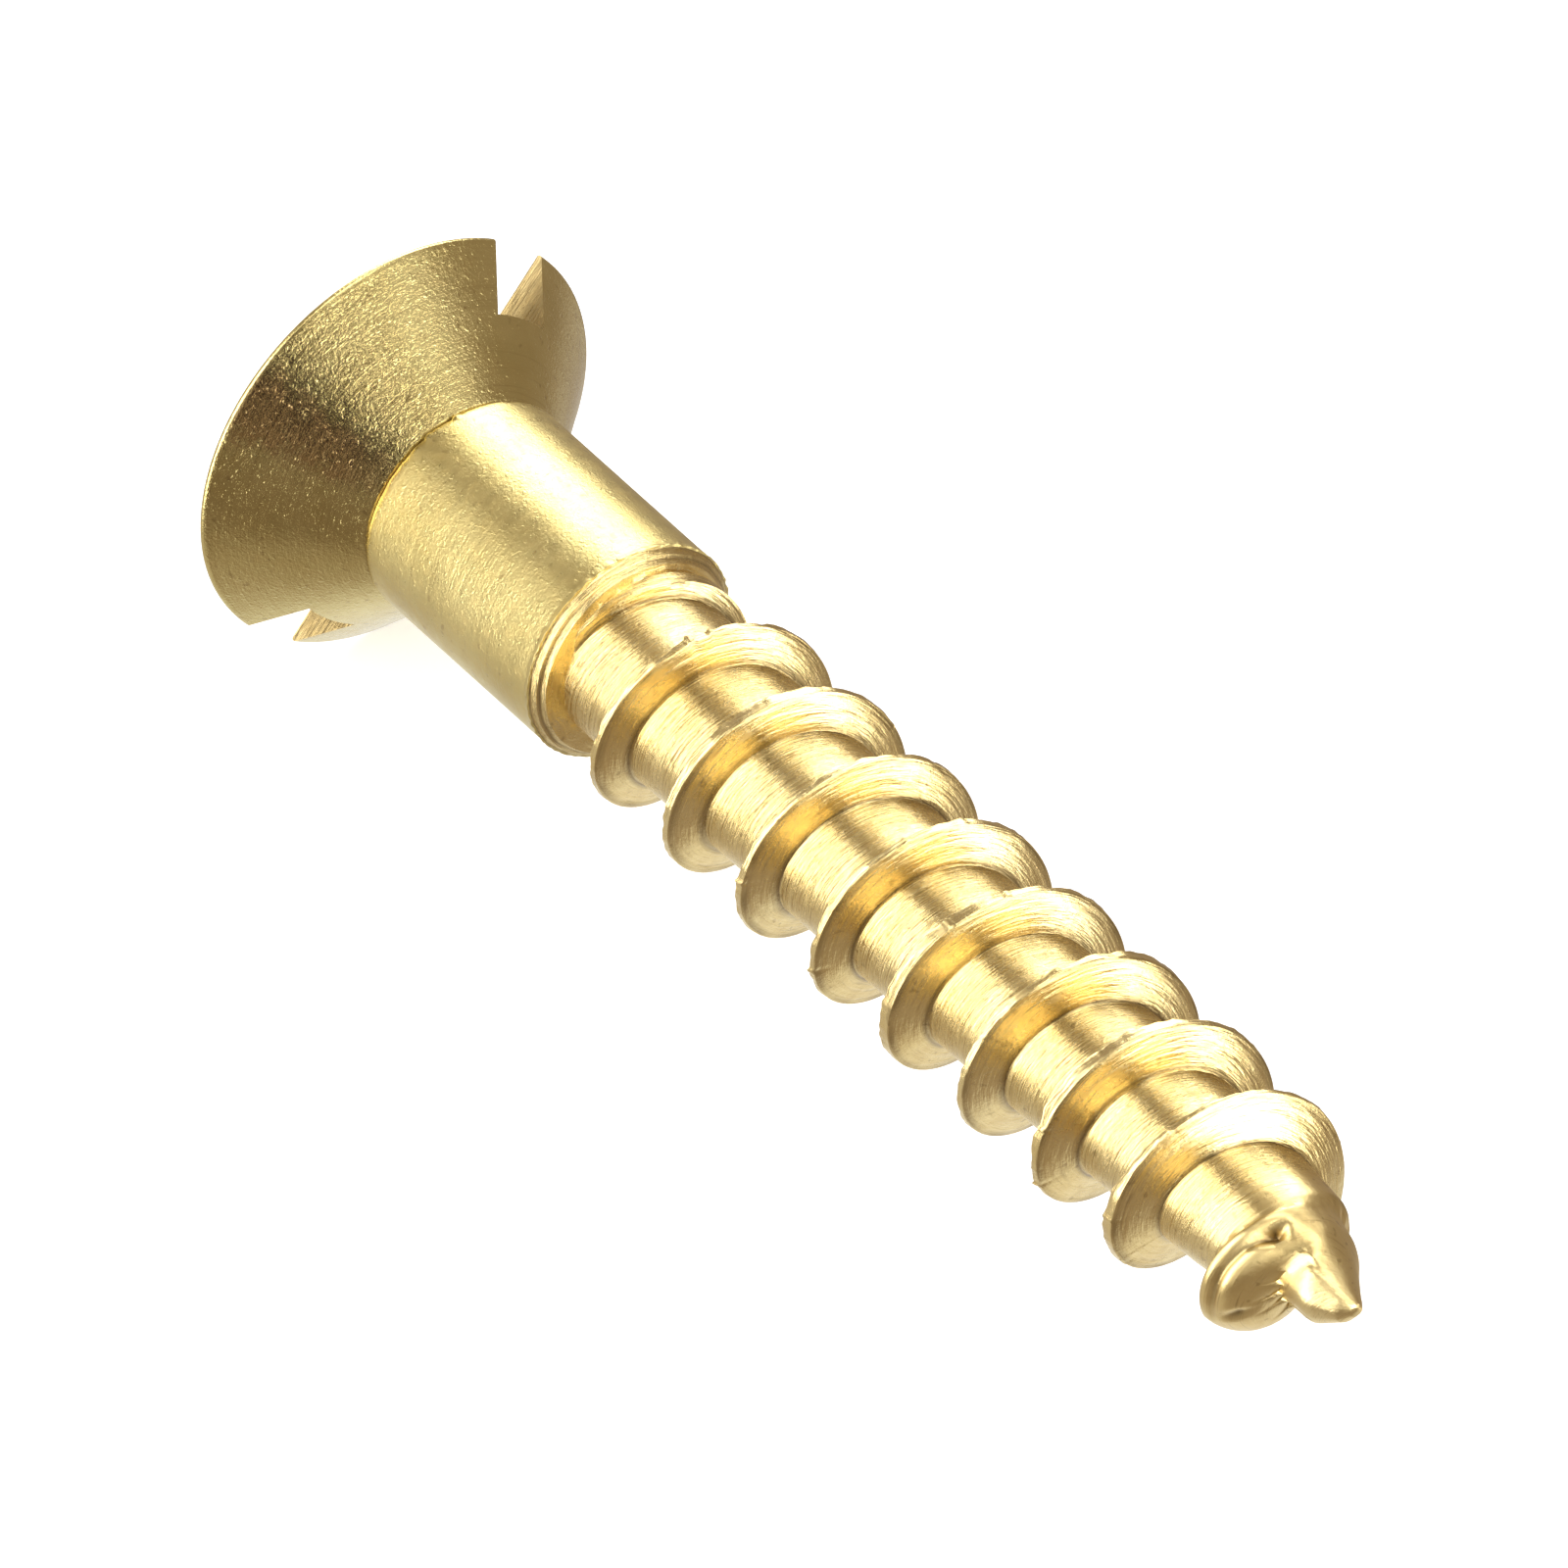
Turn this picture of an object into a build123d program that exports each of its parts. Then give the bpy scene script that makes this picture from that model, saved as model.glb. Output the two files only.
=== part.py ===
"""Slotted countersunk wood screw, nominally 3 x 20 mm, turned and threaded from one piece of brass.

Frame: the screw lies along X. The origin is the centre of the head's flat face, whose
outward normal is +X, and the point is at -X. All sizes are in millimetres.
"""

from build123d import *
import os
from math import ceil, radians, tan

# ---- driving dimensions -------------------------------------------------------------
length = 19.8  # nominally 20, the point is cut a little short
shank_diameter = 3.0
shank_end = 4.92
head_diameter = 5.75
pitch = 1.5

# head
rim_land = 0.06
head_cone_half_angle = 45.0
slot_width = 0.9
slot_depth = 0.72
slot_angle = 131.0  # from +Y towards +Z

# groove where the head meets the shank
throat_diameter = 2.84
shank_shoulder = 0.09

# short tapered relief behind the plain shank
relief_start_diameter = 2.78
relief_end_diameter = 2.68
relief_length = 0.75
relief_ramp = 0.3

# thread, left-hand, with crests that taper a little towards the point
crest_start_diameter = 3.02
crest_end_diameter = 2.98
root_diameter = 2.04
crest_flat = 0.06
point_side_flank_angle = 20.0
head_side_flank_angle = 30.0
groove_start = 3.63  # groove centre at -Z, one turn before the shank ends

# point
taper_start = 16.3
last_crest = 18.2
last_crest_diameter = 2.68
spike_start = 18.6
spike_base_diameter = 1.52
spike_shoulder = 19.1
spike_shoulder_diameter = 1.0
tip_diameter = 0.2

# ---- worked-out values --------------------------------------------------------------
shank_radius = shank_diameter / 2
head_radius = head_diameter / 2
throat_radius = throat_diameter / 2
throat = rim_land + (head_radius - throat_radius) / tan(radians(head_cone_half_angle))
relief_end = shank_end + relief_length
crest_radius = crest_start_diameter / 2
thread_depth = crest_radius - root_diameter / 2
point_side_slope = tan(radians(point_side_flank_angle))
head_side_slope = tan(radians(head_side_flank_angle))
root_flat = pitch - crest_flat - thread_depth * (point_side_slope + head_side_slope)
cutter_overreach = crest_flat / 4  # how far the cutter stands out of the bar
cutter_height = thread_depth + cutter_overreach
turn_count = ceil((length - groove_start) / pitch)


def groove_turn(start):
    """One turn of what the cutter clears between the crests, its centre at -start on the -Z side."""
    with BuildPart() as turn:
        with BuildLine() as path:
            Helix(pitch, pitch, crest_radius, center=(-start, 0, 0), direction=(-1, 0, 0), lefthand=True)
        # local x points to the head and local y outwards
        with BuildSketch(Plane(origin=path.line @ 0, x_dir=(1, 0, 0), z_dir=(0, 1, 0))):
            with BuildLine():
                Polyline(
                    (root_flat / 2, -thread_depth),
                    (root_flat / 2 + cutter_height * point_side_slope, cutter_overreach),
                    (-root_flat / 2 - cutter_height * head_side_slope, cutter_overreach),
                    (-root_flat / 2, -thread_depth),
                    close=True,
                )
            make_face()
        sweep(path=path.line, is_frenet=True)
        # the plain shank is left whole
        split(bisect_by=Plane.YZ.offset(-shank_end), keep=Keep.BOTTOM)
    return turn.part


groove_turns = [groove_turn(groove_start + turn * pitch) for turn in range(turn_count)]

# ---- screw: turned blank, less the groove and the slot -------------------------------
with BuildPart() as screw:
    with BuildSketch(Plane.XY):
        with BuildLine():
            Polyline(
                (0, 0),
                (0, head_radius),
                (-rim_land, head_radius),
                (-throat, throat_radius),
                (-throat - shank_shoulder, shank_radius),
                (-shank_end, shank_radius),
                (-shank_end, relief_start_diameter / 2),
                (-relief_end, relief_end_diameter / 2),
                (-relief_end - relief_ramp, crest_radius),
                (-taper_start, crest_end_diameter / 2),
                (-last_crest, last_crest_diameter / 2),
                (-spike_start, spike_base_diameter / 2),
                (-spike_shoulder, spike_shoulder_diameter / 2),
                (-length, tip_diameter / 2),
                (-length, 0),
                close=True,
            )
        make_face()
    revolve(axis=Axis.X)
    for turn_part in groove_turns:
        add(turn_part, mode=Mode.SUBTRACT)
    with BuildSketch(Plane.YZ):
        Rectangle(2 * head_diameter, slot_width, rotation=slot_angle)
    extrude(amount=-slot_depth, mode=Mode.SUBTRACT)

screw.part.label = "screw"

os.makedirs("parts", exist_ok=True)
export_step(screw.part, "parts/screw.step")
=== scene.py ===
"""Slotted countersunk brass wood screw on a pale floor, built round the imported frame.

The screw lies along X: the head's flat face is at X = 0 and the point at -X, with +Z up.
In the helpers below s is the distance from the head face towards the point, r the distance
from the axis, and the angle runs from +Y towards +Z. Their lengths are in millimetres.
"""
from math import cos, hypot, pi, radians, sin, tan

import bmesh
import bpy
import numpy as np
from mathutils import Matrix, Vector


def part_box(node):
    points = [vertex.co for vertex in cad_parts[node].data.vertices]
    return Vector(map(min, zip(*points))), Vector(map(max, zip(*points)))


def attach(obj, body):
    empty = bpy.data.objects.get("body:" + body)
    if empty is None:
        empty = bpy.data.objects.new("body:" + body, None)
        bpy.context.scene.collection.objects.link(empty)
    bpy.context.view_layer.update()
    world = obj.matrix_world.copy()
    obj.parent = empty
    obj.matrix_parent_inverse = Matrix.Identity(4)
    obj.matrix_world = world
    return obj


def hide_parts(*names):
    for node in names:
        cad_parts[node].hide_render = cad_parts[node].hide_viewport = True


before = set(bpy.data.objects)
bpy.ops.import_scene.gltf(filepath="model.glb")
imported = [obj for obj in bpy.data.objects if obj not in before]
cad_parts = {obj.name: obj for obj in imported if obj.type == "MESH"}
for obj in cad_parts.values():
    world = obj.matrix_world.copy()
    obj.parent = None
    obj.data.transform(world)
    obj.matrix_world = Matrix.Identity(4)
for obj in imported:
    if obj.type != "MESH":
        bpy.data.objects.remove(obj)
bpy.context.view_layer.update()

MM = 0.001
SEED = 7

# ---- sizes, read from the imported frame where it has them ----
node_low, node_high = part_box("screw")

length = -node_low.x / MM
head_radius = (node_high.z - node_low.z) / 2 / MM
shank_radius = 1.5
shank_start = 1.515
shank_end = 4.92
rim_land = 0.06
throat_radius = 1.42

slot_width = 0.9
slot_depth = 0.72
slot_angle = radians(131.0)

pitch = 1.5
first_crest = 4.808             # of the crest that leaves the shank, where it crosses +Y
root_places = [5.0, 8.0, 12.0, 16.0, 17.5, 18.5, 18.8, 19.1]
root_radii = [1.09, 1.06, 1.02, 0.96, 0.90, 0.81, 0.68, 0.45]
crest_half_width = 0.02
point_flank = tan(radians(20.0))
head_flank = tan(radians(30.0))

corner = 0.015                  # rounding where a flank meets the root
neck_radius = 1.22
run_in_end = 5.11
last_crest = 18.165             # where the last turn begins to fall, on the lower side
lower_side = radians(-34.4)
spike_radius = 0.50
spike_start = 18.94
tip_face = 0.004                # how far before the tip the last row ends

# marks in the torn last turn: degrees past its start, and distance behind its crest
hollow_off = 0.15
pit_angle = 86
pit_off = 0.19
small_pit_angle = 8
small_pit_off = 0.4

columns = 264
turns_meshed = range(-2, 11)    # enough to reach past the run-in and past the tip


def smooth_max(a, b, blend):
    """The larger of a and b, with the corner between them rounded."""
    share = np.clip(0.5 + 0.5 * (a - b) / blend, 0, 1)
    return b + (a - b) * share + blend * share * (1 - share)


def smooth_min(a, b, blend):
    return -smooth_max(-a, -b, blend)


def smooth_step(low, high, value):
    t = np.clip((value - low) / (high - low), 0, 1)
    return t * t * (3 - 2 * t)


def wander(angle, slowest, fastest, terms, seed, closed=False):
    """A smooth uneven line along an angle, roughly between -1 and 1."""
    draw = np.random.default_rng(SEED + seed)
    rates = draw.uniform(slowest, fastest, terms)
    if closed:
        rates = np.round(rates)
    phases = draw.uniform(0, 2 * pi, terms)
    waves = [np.sin(rate * angle + phase) for rate, phase in zip(rates, phases)]
    return sum(waves) / terms ** 0.5


# ---- the thread ----
def envelope(s, angle):
    """The blank that the thread was cut in: a neck where the cutter ran in, then a slight taper."""
    neck = neck_radius + 0.09 * smooth_step(radians(70), radians(150), angle)
    ramp = smooth_step(5.72, 6.0, s)
    taper = np.interp(s, [5.9, 16.3, 17.4, 18.165], [1.51, 1.49, 1.46, 1.38])
    return neck + (taper - neck) * ramp


def regular_ridge(off, top):
    """Height over a crest of radius top, at a distance off it towards the point."""
    past = np.clip(off - crest_half_width, 0, None) / point_flank
    before = np.clip(-off - crest_half_width, 0, None) / head_flank
    return top - past - before


def bell(value, middle, width):
    """1 at the middle, and falling to nothing a few widths away on both sides."""
    return np.exp(-((value - middle) / width) ** 2)


def last_ridge(s, turned):
    """The torn last turn: turned is the angle past the place where the crest begins to fall."""
    degrees = turned * 180 / pi
    centre = last_crest + smooth_min(pitch * turned / (2 * pi), 0.45, 0.1)
    reach = last_crest + 0.69 + 0.55 * smooth_step(20, 150, degrees) - centre
    top = np.interp(degrees, [-400, -180, 0, 48, 82, 107, 141, 180, 260],
                    [1.49, 1.45, 1.31, 1.16, 0.96, 0.86, 0.72, 0.64, 0.5])
    off = s - centre
    ridge = regular_ridge(off, top)
    # a round lobe where it starts, then a cone with a low shelf at its foot
    late = smooth_step(20, 120, degrees) * (1 - smooth_step(230, 330, degrees))
    foot = spike_radius + 0.05 * late
    share = np.clip(off / reach / (1 - 0.3 * late), 0, 1)
    blunt = foot + (top - foot) * (1 - share ** (2 - 0.8 * late)) ** (0.7 + 0.3 * late)
    blunt = np.where(off > 0, blunt, ridge) * (1 - smooth_step(reach - 0.03, reach + 0.03, off))
    # a second edge runs beside the torn crest, with a narrow hollow between them
    beside = smooth_step(-5, 25, degrees) * (1 - smooth_step(85, 110, degrees))
    blunt = blunt - 0.07 * bell(off, hollow_off, 0.055) * beside
    blunt = blunt + 0.035 * bell(off, 0.34, 0.07) * beside * (1 - smooth_step(55, 85, degrees))
    blunt = blunt - 0.15 * bell(degrees, pit_angle, 11) * bell(off, pit_off, 0.08)
    blunt = blunt - 0.07 * bell(degrees, small_pit_angle, 4.5) * bell(off, small_pit_off, 0.08)
    torn = smooth_step(-150, -20, degrees)
    return ridge + (blunt - ridge) * torn, off


def point_limit(s, angle):
    """The cone of the point, which leans a little towards the lower side."""
    lower = np.interp(s, [18.2, 18.9, 19.1, 19.3, 19.7, length], [1.6, 1.3, 0.9, 0.555, 0.28, 0.13])
    upper = np.interp(s, [18.2, 18.4, 18.6, 18.95, 19.34, 19.64, length],
                      [1.6, 1.1, 0.69, 0.565, 0.32, 0.12, 0.03])
    return lower + (upper - lower) * (1 - np.cos(angle - lower_side)) / 2


def thread(s, angle):
    """The radius of the threaded part at a distance and an angle."""
    turn = angle / (2 * pi)
    near = np.round((s - first_crest) / pitch - turn)
    radius = np.interp(s, root_places, root_radii)
    for shift in (-1, 0, 1):
        centre = first_crest + pitch * (near + shift + turn)
        top = np.interp(centre, [16.3, 16.67, 16.68], [1.52, 1.49, 0.0])
        radius = smooth_max(radius, regular_ridge(s - centre, top), corner)
    radius = smooth_min(radius, envelope(s, angle), 0.012)

    turned = np.mod(angle - lower_side, 2 * pi)
    ridge, off = last_ridge(s, turned)
    after = spike_radius + 0.08 * (1 - smooth_step(18.5, spike_start, s))
    past = np.maximum(smooth_step(-0.02, 0.1, off),
                      smooth_step(radians(250), radians(350), turned) * smooth_step(18.2, 18.6, s))
    floor = np.where(s > 18.0, radius + (after - radius) * past, radius)
    earlier, _ = last_ridge(s, turned - 2 * pi)
    radius = smooth_max(smooth_max(floor, ridge, 0.05), earlier, 0.03)
    return smooth_min(radius, point_limit(s, angle), 0.03)


def thread_rows():
    """Places of the mesh rows over one pitch, counted from a crest: close at the edges."""
    crest = [-0.07, -0.045, -0.025, -0.01, 0.01, 0.022, 0.035, 0.05, 0.07]
    point_side = [0.095, 0.12, 0.145, 0.17, 0.19, 0.21, 0.24]
    floor = [0.29, 0.35, 0.41, 0.47, 0.54, 0.61, 0.68, 0.76, 0.86, 0.96, 1.06]
    head_side = [1.15, 1.22, 1.26, 1.30, 1.36, 1.40]
    return crest + point_side + floor + head_side


def roughen_crest(s, r, angle, off, turns):
    """The torn, slightly curled edge that the thread cutter left on each crest."""
    run = angle + 2 * pi * turns
    edge = np.exp(-((off + 0.02) / 0.022) ** 2)
    near = np.exp(-(off / 0.06) ** 2)
    ragged = 0.3 * wander(run, 30, 75, 9, 1) + 0.7 * wander(run, 6, 25, 5, 2)
    bead = np.clip(wander(run, 25, 60, 7, 3) * wander(run, 2, 9, 4, 4) - 1.0, 0, 1)
    torn = smooth_step(-0.3, 1.2, wander(run, 0.3, 1.6, 4, 6))
    fade = smooth_step(5.3, 6.2, s) * (1 - smooth_step(17.3, 18.2, s))
    r = r + fade * (edge * (0.010 + 0.008 * ragged) + near * 0.035 * bead)
    s = s - fade * edge * (0.03 + 0.09 * torn + 0.014 * wander(run, 8, 45, 8, 5))
    s = s - fade * near * 0.03 * bead
    return s, r


def painted_shade_lines(s, angle, turns, off):
    """Painted shade: the corner at a ridge's foot, and both sides of its rolled edge."""
    turn = angle / (2 * pi)
    beyond = np.mod((s - first_crest) / pitch - turn, 1.0) * pitch
    gap = regular_ridge(beyond, 1.5) - np.interp(s, root_places, root_radii)
    foot = bell(gap, 0, 0.045) * (1 - smooth_step(17.9, 18.3, s))
    run = angle + 2 * pi * turns
    ragged = np.clip(0.7 + 0.3 * wander(run, 2, 14, 7, 21), 0.3, 1)
    beside = np.maximum(bell(off, 0.04, 0.014), bell(off, -0.058, 0.012)) * ragged
    dark = np.maximum(0.8 * foot, 0.6 * beside * (1 - smooth_step(17.0, 17.8, s)))
    # painted shade in the hollow beside the torn last turn and in the two pits in it
    turned = np.mod(angle - lower_side, 2 * pi)
    degrees = turned * 180 / pi
    _, beyond = last_ridge(s, turned)
    along_hollow = smooth_step(0, 25, degrees) * (1 - smooth_step(80, 105, degrees))
    hollow = 0.5 * bell(beyond, hollow_off, 0.04) * along_hollow
    pit = 0.8 * bell(degrees, pit_angle, 11) * bell(beyond, pit_off, 0.08)
    small_pit = 0.8 * bell(degrees, small_pit_angle, 4) * bell(beyond, small_pit_off, 0.07)
    return np.clip(dark + hollow + (pit + small_pit), 0, 0.85)


# ---- the mesh ----
def head_and_shank():
    """Rings from the middle of the head face to the end of the shank: (s, r)."""
    rings = [(0.0, r) for r in np.linspace(0.12, head_radius - 0.03, 5)]
    rings += [(0.006, head_radius - 0.012), (0.02, head_radius - 0.002), (rim_land - 0.01, head_radius),
              (rim_land + 0.012, head_radius - 0.01)]
    cone_top = head_radius - 0.04
    for r in [*np.linspace(cone_top, throat_radius + 0.05, 9), throat_radius + 0.01]:
        rings.append((rim_land + head_radius - r, r))
    rings += [(shank_start, throat_radius - 0.05), (shank_start + 0.012, throat_radius - 0.05),
              (shank_start + 0.016, throat_radius + 0.03), (shank_start + 0.03, shank_radius - 0.022),
              (shank_start + 0.06, shank_radius - 0.006), (shank_start + 0.1, shank_radius)]
    for s in np.linspace(shank_start + 0.16, shank_end - 0.12, 6):
        rings.append((s, shank_radius))
    rings += [(shank_end - 0.07, shank_radius), (shank_end - 0.04, shank_radius + 0.003),
              (shank_end - 0.02, shank_radius + 0.009), (shank_end - 0.004, shank_radius + 0.008),
              (shank_end, shank_radius - 0.012)]
    return rings


def run_in(s):
    """The two narrow bevels that the thread cutter left as it left the shank."""
    return np.interp(s - shank_end, [0, 0.008, 0.085, 0.1, 0.17, 0.19],
                     [1.488, 1.462, 1.43, 1.375, 1.345, 1.0])


def plain_rings(angles):
    """The head and shank with their torn edges: (s, r, painted shade, distance along the surface)."""
    rings = []
    run = 0.0
    previous = (0.0, 0.0)
    for s, r in head_and_shank():
        run += hypot(s - previous[0], r - previous[1])
        previous = (s, r)
        ring_s = np.full(columns, s)
        ring_r = np.full(columns, r)
        if abs(s - shank_end) < 0.05:
            ring_r = ring_r + 0.005 * wander(angles, 20, 75, 9, 11, closed=True)
            if s < shank_end:
                ring_s = ring_s + 0.006 * wander(angles, 20, 75, 9, 12, closed=True)
        if shank_start + 0.014 < s < shank_start + 0.07:
            chips = np.clip(wander(angles, 15, 60, 8, 15, closed=True), 0, 1)
            torn = np.exp(-((angles - radians(75)) / 0.3) ** 2)
            ring_r = ring_r + 0.004 * wander(angles, 6, 40, 9, 13, closed=True) + 0.03 * torn * chips
            ring_s = ring_s - 0.02 * torn * chips
        # painted shade along the crease where the shank meets the cone
        rings.append((ring_s, ring_r, 0.8 * bell(s, shank_start + 0.006, 0.02), run))
    return rings


def run_in_rings(angles, run):
    """The bevels behind the shank, where the thread begins to rise out of them."""
    rings = []
    lip = 0.0015 * wander(angles, 3, 20, 6, 14, closed=True)
    for s in np.linspace(shank_end + 0.002, run_in_end, 15):
        ring_s = np.full(columns, s)
        ring_r = smooth_max(run_in(ring_s + lip), thread(ring_s, angles), 0.01)
        run += 0.02
        # painted shade lines at the shank's lip and at the step between the two bevels
        shade = 0.6 * bell(s, shank_end + 0.004, 0.008) + 0.6 * bell(s, shank_end + 0.095, 0.01)
        rings.append((ring_s, ring_r, shade, run))
    return rings


def thread_row(turn, off, angles):
    """One helical row of the thread, cut off at the run-in and at the tip: (s, r, painted shade)."""
    s = first_crest + pitch * (turn + angles / (2 * pi)) + off
    nearer_next = off > pitch / 2
    from_crest = off - pitch if nearer_next else off
    turns = turn + (1 if nearer_next else 0)
    rough_s, rough_r = roughen_crest(s, thread(s, angles), angles, from_crest, turns)
    end = length - tip_face
    inside = (s > run_in_end) & (s < end)
    s = np.clip(s, run_in_end, end)
    r = np.where(inside, rough_r, thread(s, angles))
    # painted shade in the corners, beside the rolled edges and in the hollow and pits
    shade = np.where(inside, painted_shade_lines(s, angles, turns, from_crest), 0)
    return np.where(inside, rough_s, s), r, shade


def lay_across(offsets, run):
    """Distances across the tool marks at each row of a turn, the same on every turn."""
    # taken from the point, so they are only roughly the distances over the other turns
    start = first_crest + 9.5 * pitch
    places = offsets + [offsets[0] + pitch]
    heights = [float(thread(np.array(start + place), np.array(0.0))) for place in places]
    steps = [hypot(places[i + 1] - places[i], heights[i + 1] - heights[i]) for i in range(len(offsets))]
    return [run + sum(steps[:i]) for i in range(len(offsets) + 1)]


def build_screw():
    """The whole screw before its slot is cut: points, faces, darkness and the marks on each corner."""
    angles = np.arange(columns) * 2 * pi / columns
    plain = plain_rings(angles)
    rings = plain + run_in_rings(angles, plain[-1][3])
    offsets = thread_rows()
    rows = [thread_row(turn, off, angles) for turn in turns_meshed for off in offsets]
    lines = [ring[:3] for ring in rings] + rows

    across = [ring[3] for ring in rings]
    cut = [0.0] * len(plain) + [1.0] * (len(rings) - len(plain))
    run = across[-1]
    lay = lay_across(offsets, run)
    ring_count, row_count, per_turn = len(rings), len(rows), len(offsets)

    co = np.concatenate([np.stack([-s, r * np.cos(angles), r * np.sin(angles)], 1) for s, r, shade in lines])
    dark = np.concatenate([np.zeros(columns) + shade for s, r, shade in lines] + [np.zeros(2)])
    face_pole = len(co)
    tip_pole = face_pole + 1
    co = np.concatenate([co, [[0, 0, 0], [-length, 0, 0]]])
    faces, face_across, face_cut = [], [], []

    def index(row, column):
        return row * columns + column % columns

    def add(face, a, b, zone=1.0):
        faces.append(face)
        face_across.append((a, a, b, b)[:len(face)])
        face_cut.append((zone,) * len(face))

    for c in range(columns):
        add((face_pole, index(0, c + 1), index(0, c)), 0.0, across[0], 0.0)
    for row in range(ring_count - 1):
        for c in range(columns):
            add((index(row, c), index(row, c + 1), index(row + 1, c + 1), index(row + 1, c)),
                across[row], across[row + 1], cut[row])
    # the last ring meets the first row, which is clamped to it
    last = ring_count - 1
    for c in range(columns):
        add((index(last, c), index(last, c + 1), index(last + 1, c + 1), index(last + 1, c)),
            run, run + 0.1)
    # a row's end meets the start of the same row one turn on
    for row in range(row_count - 1):
        a, b = ring_count + row, ring_count + row + 1
        for c in range(columns):
            if c < columns - 1:
                face = (index(a, c), index(a, c + 1), index(b, c + 1), index(b, c))
            elif row + 1 + per_turn < row_count:
                face = (index(a, c), index(a + per_turn, 0), index(b + per_turn, 0), index(b, c))
            else:
                continue
            add(face, lay[row % per_turn], lay[row % per_turn + 1])
    top = ring_count + row_count - 1
    for c in range(columns):
        add((index(top, c), index(top, c + 1), tip_pole), run, run)
    return co * MM, faces, dark, {"across": face_across, "cut": face_cut}


def screw_object(finishes):
    """The closed mesh of the screw, with the drawn finish first and the cut finish second."""
    co, faces, dark, marks = build_screw()
    mesh = bpy.data.meshes.new("wood_screw")
    mesh.from_pydata(co.tolist(), [], faces)
    mesh.attributes.new("dark", "FLOAT", "POINT").data.foreach_set("value", dark)
    for name, values in marks.items():
        layer = mesh.attributes.new(name, "FLOAT", "CORNER")
        layer.data.foreach_set("value", np.concatenate([np.array(a, float) for a in values]))
    bm = bmesh.new()
    bm.from_mesh(mesh)
    bmesh.ops.remove_doubles(bm, verts=bm.verts, dist=1e-8)
    bmesh.ops.dissolve_degenerate(bm, dist=1e-8, edges=bm.edges)
    bmesh.ops.recalc_face_normals(bm, faces=bm.faces)
    bm.to_mesh(mesh)
    bm.free()
    for finish in finishes:
        mesh.materials.append(finish)
    zones = mesh.attributes["cut"].data
    for polygon in mesh.polygons:
        polygon.material_index = int(zones[polygon.loop_start].value > 0.5)
    screw = bpy.data.objects.new("wood_screw", mesh)
    bpy.context.scene.collection.objects.link(screw)
    return screw


def cut_slot(screw, sawn):
    """Cuts the driver slot across the head; its faces take the sawn finish."""
    bm = bmesh.new()
    bmesh.ops.create_cube(bm, size=1.0)
    reach = 1.0
    size = (slot_depth + reach, 3 * head_radius, slot_width)
    bmesh.ops.scale(bm, vec=Vector(size) * MM, verts=bm.verts)
    bmesh.ops.translate(bm, vec=Vector(((reach - slot_depth) / 2 * MM, 0, 0)), verts=bm.verts)
    bmesh.ops.rotate(bm, cent=(0, 0, 0), matrix=Matrix.Rotation(slot_angle, 3, "X"), verts=bm.verts)
    mesh = bpy.data.meshes.new("slot_cutter")
    mesh.materials.append(sawn)
    bm.to_mesh(mesh)
    bm.free()
    cutter = bpy.data.objects.new("slot_cutter", mesh)
    bpy.context.scene.collection.objects.link(cutter)
    boolean = screw.modifiers.new("slot", "BOOLEAN")
    boolean.operation = "DIFFERENCE"
    boolean.solver = "EXACT"
    boolean.material_mode = "TRANSFER"
    boolean.object = cutter
    graph = bpy.context.evaluated_depsgraph_get()
    cut = bpy.data.meshes.new_from_object(screw.evaluated_get(graph))
    screw.modifiers.clear()
    screw.data = cut
    bpy.data.objects.remove(cutter)
    cut.shade_smooth()
    cut.set_sharp_from_angle(angle=radians(45))


# ---- material ----
warm_brass = (0.66, 0.46, 0.17, 1)
painted_reflection_brown = (0.42, 0.22, 0.10, 1)
speck_brown = (0.40, 0.28, 0.11, 1)
line_brown = (0.34, 0.22, 0.08, 1)
painted_shade_brown = (0.16, 0.10, 0.04, 1)

# places along X in metres where one finish gives way to another
head_face_x = -0.00003
rim_x = -0.0001
streak_foot_x = -0.0011
cone_polish_x = -0.0014
cone_foot_x = -0.0017
whole_turns_x = -0.0178
torn_turn_x = -0.0184


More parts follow.
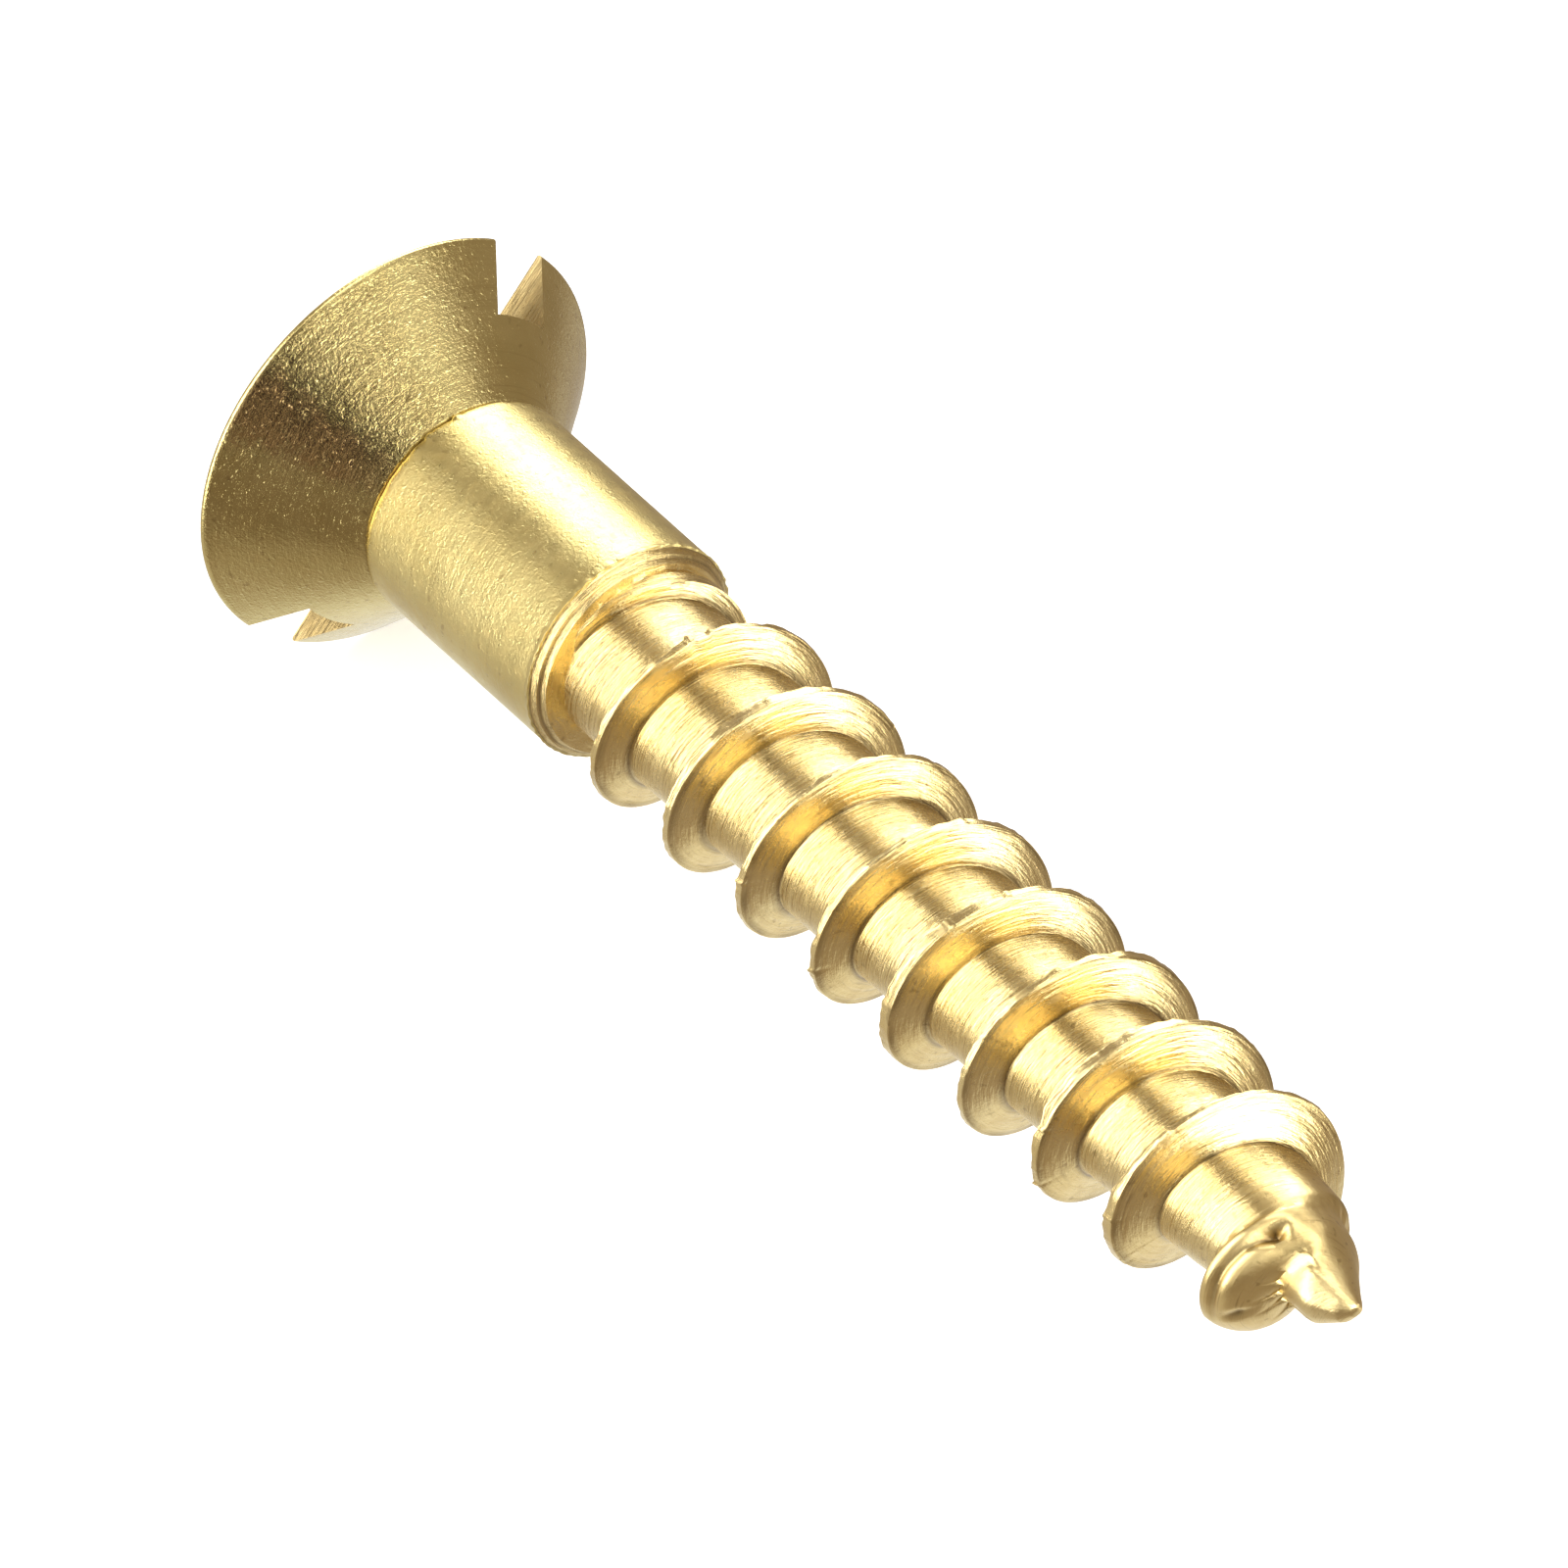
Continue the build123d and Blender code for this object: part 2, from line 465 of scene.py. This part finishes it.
class Nodes:
    """Short calls for adding and joining shader nodes."""

    def __init__(self, tree):
        self.tree = tree
        self.tree.nodes.clear()

    def add(self, kind, **settings):
        node = self.tree.nodes.new(kind)
        for name, value in settings.items():
            setattr(node, name, value)
        return node

    def put(self, socket, value):
        if isinstance(value, bpy.types.NodeSocket):
            self.tree.links.new(value, socket)
        else:
            socket.default_value = value

    def math(self, operation, a, b=0.0, c=0.0):
        node = self.add("ShaderNodeMath", operation=operation)
        for socket, value in zip(node.inputs, (a, b, c)):
            self.put(socket, value)
        return node.outputs[0]

    def vector(self, x, y, z):
        node = self.add("ShaderNodeCombineXYZ")
        for socket, value in zip(node.inputs, (x, y, z)):
            self.put(socket, value)
        return node.outputs[0]

    def noise(self, where, w=0.0, scale=1.0, detail=2.0, rough=0.5, four=False):
        node = self.add("ShaderNodeTexNoise", noise_dimensions="4D" if four else "3D")
        self.put(node.inputs["Vector"], where)
        if four:
            self.put(node.inputs["W"], w)
        self.put(node.inputs["Scale"], scale)
        self.put(node.inputs["Detail"], detail)
        self.put(node.inputs["Roughness"], rough)
        return node.outputs[0]

    def spread(self, value, low, high, to_low=0.0, to_high=1.0, smooth=False):
        node = self.add("ShaderNodeMapRange", interpolation_type="SMOOTHSTEP" if smooth else "LINEAR")
        for name, number in zip(("From Min", "From Max", "To Min", "To Max"), (low, high, to_low, to_high)):
            self.put(node.inputs[name], number)
        self.put(node.inputs["Value"], value)
        return node.outputs["Result"]

    def mix(self, share, a, b):
        node = self.add("ShaderNodeMix", data_type="RGBA")
        self.put(node.inputs[0], share)
        self.put(node.inputs[6], a)
        self.put(node.inputs[7], b)
        return node.outputs[2]

    def bump(self, height, strength, distance, normal=None):
        node = self.add("ShaderNodeBump")
        self.put(node.inputs["Strength"], strength)
        self.put(node.inputs["Distance"], distance)
        self.put(node.inputs["Height"], height)
        if normal is not None:
            self.put(node.inputs["Normal"], normal)
        return node.outputs[0]


def brass(name, pale, deep, smooth, coarse, line_depth, line_dark, fleck_depth, grain_depth,
          stretch=0.0, sawn=False, painted_reflection_angle=0.0, cone_polish=0.0):
    """Bare brass, with fine lines round the axis or, where it is sawn, along the slot.

    smooth and coarse are the ends of its roughness, stretch its anisotropy, and painted_reflection_angle the
    angle of the painted dark reflection, a brown streak on the head's cone, which is smoother than the rest
    by cone_polish.
    """
    material = bpy.data.materials.new(name)
    material.use_nodes = True
    n = Nodes(material.node_tree)
    place = n.add("ShaderNodeTexCoord").outputs["Object"]
    apart = n.add("ShaderNodeSeparateXYZ")
    n.put(apart.inputs[0], place)
    x, y, z = apart.outputs
    radius = n.math("SQRT", n.math("ADD", n.math("MULTIPLY", y, y), n.math("MULTIPLY", z, z)))
    around_y = n.math("DIVIDE", y, n.math("MAXIMUM", radius, 1e-5))
    around_z = n.math("DIVIDE", z, n.math("MAXIMUM", radius, 1e-5))
    across = n.add("ShaderNodeAttribute", attribute_name="across").outputs["Fac"]

    if sawn:
        along = n.math("ADD", n.math("MULTIPLY", y, cos(slot_angle)),
                       n.math("MULTIPLY", z, sin(slot_angle)))
        lines = n.noise(n.vector(n.math("MULTIPLY", along, 500.0), n.math("MULTIPLY", x, 22000.0), 0.0),
                        0.0, 1.0, 3.0, 0.7)
    else:
        slow = n.vector(n.math("MULTIPLY", around_y, 1.2), n.math("MULTIPLY", around_z, 1.2),
                        n.math("MULTIPLY", x, 250.0))
        lines = n.noise(slow, n.math("MULTIPLY", across, 26.0), 1.0, 3.0, 0.7, four=True)
    grain = n.noise(place, 0.0, 22000.0, 3.0, 0.7)
    mottle = n.noise(place, 0.0, 6000.0, 3.0, 0.6)
    patches = n.noise(place, 0.0, 900.0, 3.0, 0.55)
    # short bright flecks from tumbling
    flecks = n.spread(n.noise(place, 0.0, 13000.0, 2.0, 0.55), 0.56, 0.7, smooth=True)

    colour = n.mix(n.spread(patches, 0.35, 0.65), deep, pale)
    colour = n.mix(n.spread(mottle, 0.3, 0.75, 0.0, 0.3), colour, warm_brass)
    if painted_reflection_angle:
        # a painted dark reflection: a reddish brown streak down one side of the head's cone
        facing = n.math("ADD", n.math("MULTIPLY", around_y, cos(painted_reflection_angle)),
                        n.math("MULTIPLY", around_z, sin(painted_reflection_angle)))
        facing = n.math("ADD", facing, n.math("MULTIPLY", n.math("SUBTRACT", mottle, 0.5), 0.04))
        streak = n.math("MULTIPLY", n.spread(facing, 0.975, 0.998, smooth=True),
                        n.spread(x, cone_foot_x, streak_foot_x))
        streak = n.math("MULTIPLY", streak, n.spread(x, head_face_x, rim_x))
        colour = n.mix(n.math("MULTIPLY", streak, 0.6), colour, painted_reflection_brown)
    # small dark specks, turning lines, and painted shade in corners, creases, hollows and pits
    specks = n.spread(n.noise(place, 0.0, 7500.0, 1.0, 0.5), 0.66, 0.76, 0.0, 0.45, smooth=True)
    colour = n.mix(specks, colour, speck_brown)
    colour = n.mix(n.spread(lines, 0.42, 0.3, 0.0, line_dark), colour, line_brown)
    dark = n.add("ShaderNodeAttribute", attribute_name="dark").outputs["Fac"]
    # the dark attribute is painted shade, mixed into the colour here
    colour = n.mix(dark, colour, painted_shade_brown)
    rough = n.math("ADD", n.spread(mottle, 0.25, 0.75, smooth, coarse),
                   n.spread(lines, 0.3, 0.7, -0.02, 0.05))
    rough = n.math("ADD", rough, n.spread(x, torn_turn_x, whole_turns_x, 0.08, 0.0))
    # the head's cone is smoother than the shank
    rough = n.math("SUBTRACT", rough, n.spread(x, cone_foot_x, cone_polish_x, 0.0, cone_polish))
    # the torn last turn is smeared smooth and dull
    depth = n.spread(x, torn_turn_x, whole_turns_x, 0.2 * line_depth, line_depth)
    normal = n.bump(lines, depth, 0.00003)
    normal = n.bump(flecks, fleck_depth, 0.000006, normal)
    normal = n.bump(grain, grain_depth, 0.000012, normal)

    shader = n.add("ShaderNodeBsdfPrincipled")
    shader.inputs["Metallic"].default_value = 1.0
    if stretch:
        shader.inputs["Anisotropic"].default_value = stretch
        shader.inputs["Anisotropic Rotation"].default_value = 0.25
        tangent = n.add("ShaderNodeTangent", direction_type="RADIAL", axis="X")
        n.put(shader.inputs["Tangent"], tangent.outputs[0])
    n.put(shader.inputs["Base Color"], colour)
    n.put(shader.inputs["Roughness"], rough)
    n.put(shader.inputs["Normal"], normal)
    out = n.add("ShaderNodeOutputMaterial")
    n.put(out.inputs["Surface"], shader.outputs[0])
    return material


def brass_finishes():
    """The three finishes: drawn head and shank, cut thread, sawn slot."""
    drawn = brass("drawn_brass", pale=(0.77, 0.65, 0.28, 1), deep=(0.67, 0.55, 0.22, 1),
                  smooth=0.25, coarse=0.37, line_depth=0.12, line_dark=0.16, fleck_depth=0.34,
                  grain_depth=0.5, painted_reflection_angle=radians(38.5), cone_polish=0.14)
    cut = brass("cut_brass", pale=(0.89, 0.72, 0.35, 1), deep=(0.84, 0.65, 0.28, 1),
                smooth=0.2, coarse=0.28, line_depth=0.9, line_dark=0.45, fleck_depth=0.1, grain_depth=0.22,
                stretch=0.75)
    # the sawn finish's colours are darker than the others as painted shade inside the slot
    sawn = brass("sawn_brass", pale=(0.56, 0.43, 0.20, 1), deep=(0.47, 0.35, 0.15, 1),
                 smooth=0.26, coarse=0.36, line_depth=0.8, line_dark=0.3, fleck_depth=0.1, grain_depth=0.3,
                 sawn=True)
    return drawn, cut, sawn


# ---- stage ----
def floor_object():
    """The pale floor that the screw lies on, left out of reflections in the metal."""
    material = bpy.data.materials.new("pale_floor")
    material.use_nodes = True
    n = Nodes(material.node_tree)
    place = n.add("ShaderNodeTexCoord").outputs["Object"]
    fibre = n.noise(place, 0.0, 900.0, 3.0, 0.5)
    colour = n.mix(fibre, (0.62, 0.62, 0.62, 1), (0.66, 0.66, 0.66, 1))
    shader = n.add("ShaderNodeBsdfPrincipled")
    n.put(shader.inputs["Base Color"], colour)
    n.put(shader.inputs["Roughness"], 0.9)
    n.put(shader.inputs["Emission Color"], (1, 1, 1, 1))
    n.put(shader.inputs["Emission Strength"], 0.6)
    out = n.add("ShaderNodeOutputMaterial")
    n.put(out.inputs["Surface"], shader.outputs[0])

    mesh = bpy.data.meshes.new("floor")
    half = 400 * MM
    level = node_low.z
    corners = [(-half, -half, level), (half, -half, level), (half, half, level), (-half, half, level)]
    mesh.from_pydata(corners, [], [(0, 1, 2, 3)])
    floor = bpy.data.objects.new("floor", mesh)
    bpy.context.scene.collection.objects.link(floor)
    floor.data.materials.append(material)
    floor.visible_glossy = False
    return floor


def toward(azimuth, elevation):
    """The direction at an azimuth from +X towards +Y and an elevation, both in degrees."""
    a, e = radians(azimuth), radians(elevation)
    return Vector((cos(a) * cos(e), sin(a) * cos(e), sin(e)))


# soft panels round the screw: azimuth and elevation of the middle, half width, half height
# (as tangents), softness of the edge and brightness; later ones cover earlier ones
panels = [
    ("overhead", 38, 64, 0.3, 0.2, 0.15, 0.2),
    ("top", -170, 78, 0.27, 0.3, 0.2, 3.5),
    ("back_top", -38, 37, 0.38, 0.34, 0.12, 5.5),
    ("behind", 12, 49, 0.36, 0.22, 0.12, 0.36),
    ("right_front", -168, 5, 0.45, 0.44, 0.15, 5.5),
    ("left_side", 86, 14, 0.4, 0.8, 0.15, 5.0),
    ("left_fill", 48, 4, 0.24, 0.6, 0.2, 0.6),
    ("under", -175, -55, 0.7, 0.5, 0.4, 0.35),
    ("under_right", -60, -65, 0.6, 0.5, 0.5, 1.0),
    ("right_side", -100, 5, 0.6, 0.7, 0.3, 0.32),
    ("right_back", -50, -16, 0.35, 0.5, 0.3, 0.34),
    ("side_low", 130, -20, 0.35, 0.5, 0.25, 0.23),
    ("dark_side", 150, 22, 0.27, 0.5, 0.12, 0.03),
    ("cone_top", 172, 44, 0.32, 0.2, 0.15, 0.28),
]
tent_brightness = 0.64
white_light = (1, 1, 1, 1)
warm_light = (1, 0.72, 0.5, 1)


def studio_world():
    """An even room with the soft panels in it, plain white where the camera sees it."""
    world = bpy.data.worlds.new("studio")
    bpy.context.scene.world = world
    world.use_nodes = True
    n = Nodes(world.node_tree)
    ray = n.add("ShaderNodeTexCoord").outputs["Generated"]

    def along(direction):
        node = n.add("ShaderNodeVectorMath", operation="DOT_PRODUCT")
        n.put(node.inputs[0], ray)
        n.put(node.inputs[1], direction)
        return node.outputs["Value"]

    level = tent_brightness
    for name, azimuth, elevation, width, height, soft, bright in panels:
        middle = toward(azimuth, elevation)
        side = Vector((-sin(radians(azimuth)), cos(radians(azimuth)), 0))
        up = middle.cross(side)
        ahead = along(middle)
        depth = n.math("MAXIMUM", ahead, 0.02)
        inside = n.spread(ahead, 0.0, 0.15, smooth=True)
        for direction, half in ((side, width), (up, height)):
            offset = n.math("ABSOLUTE", n.math("DIVIDE", along(direction), depth))
            edge = n.spread(offset, half - soft / 2, half + soft / 2, 1.0, 0.0, smooth=True)
            inside = n.math("MULTIPLY", inside, edge)
        change = n.math("SUBTRACT", bright, level)
        level = n.math("ADD", level, n.math("MULTIPLY", change, inside))
    seen = n.add("ShaderNodeLightPath").outputs["Is Camera Ray"]
    level = n.math("ADD", n.math("MULTIPLY", level, n.math("SUBTRACT", 1.0, seen)), seen)
    background = n.add("ShaderNodeBackground")
    # the dim parts of the room are warm
    tint = n.mix(n.spread(level, 0.1, 0.8), warm_light, white_light)
    n.put(background.inputs["Color"], tint)
    n.put(background.inputs["Strength"], level)
    out = n.add("ShaderNodeOutputWorld")
    n.put(out.inputs["Surface"], background.outputs[0])


def camera():
    """Looks at the screw from its point side, from above, through a long lens."""
    azimuth, elevation = radians(234.10), radians(40.57)
    back = Vector((sin(azimuth) * cos(elevation), -cos(azimuth) * cos(elevation), sin(elevation)))
    right = Vector((cos(azimuth), sin(azimuth), 0))
    up = back.cross(right)
    distance = 550.0
    aim = Vector((-5.01, -2.26, -3.19))
    data = bpy.data.cameras.new("camera")
    data.sensor_width = 36.0
    data.lens = 1038.0
    data.clip_start = 10 * MM
    data.clip_end = 5.0
    cam = bpy.data.objects.new("camera", data)
    bpy.context.scene.collection.objects.link(cam)
    cam.location = (aim + back * distance) * MM
    cam.rotation_mode = "QUATERNION"
    cam.rotation_quaternion = Matrix((right, up, back)).transposed().to_quaternion()
    bpy.context.scene.camera = cam


drawn, cut, sawn = brass_finishes()
screw = screw_object((drawn, cut))
cut_slot(screw, sawn)
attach(screw, "root")
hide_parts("screw")

floor_object()
studio_world()
camera()
bpy.context.scene.view_settings.view_transform = "Standard"
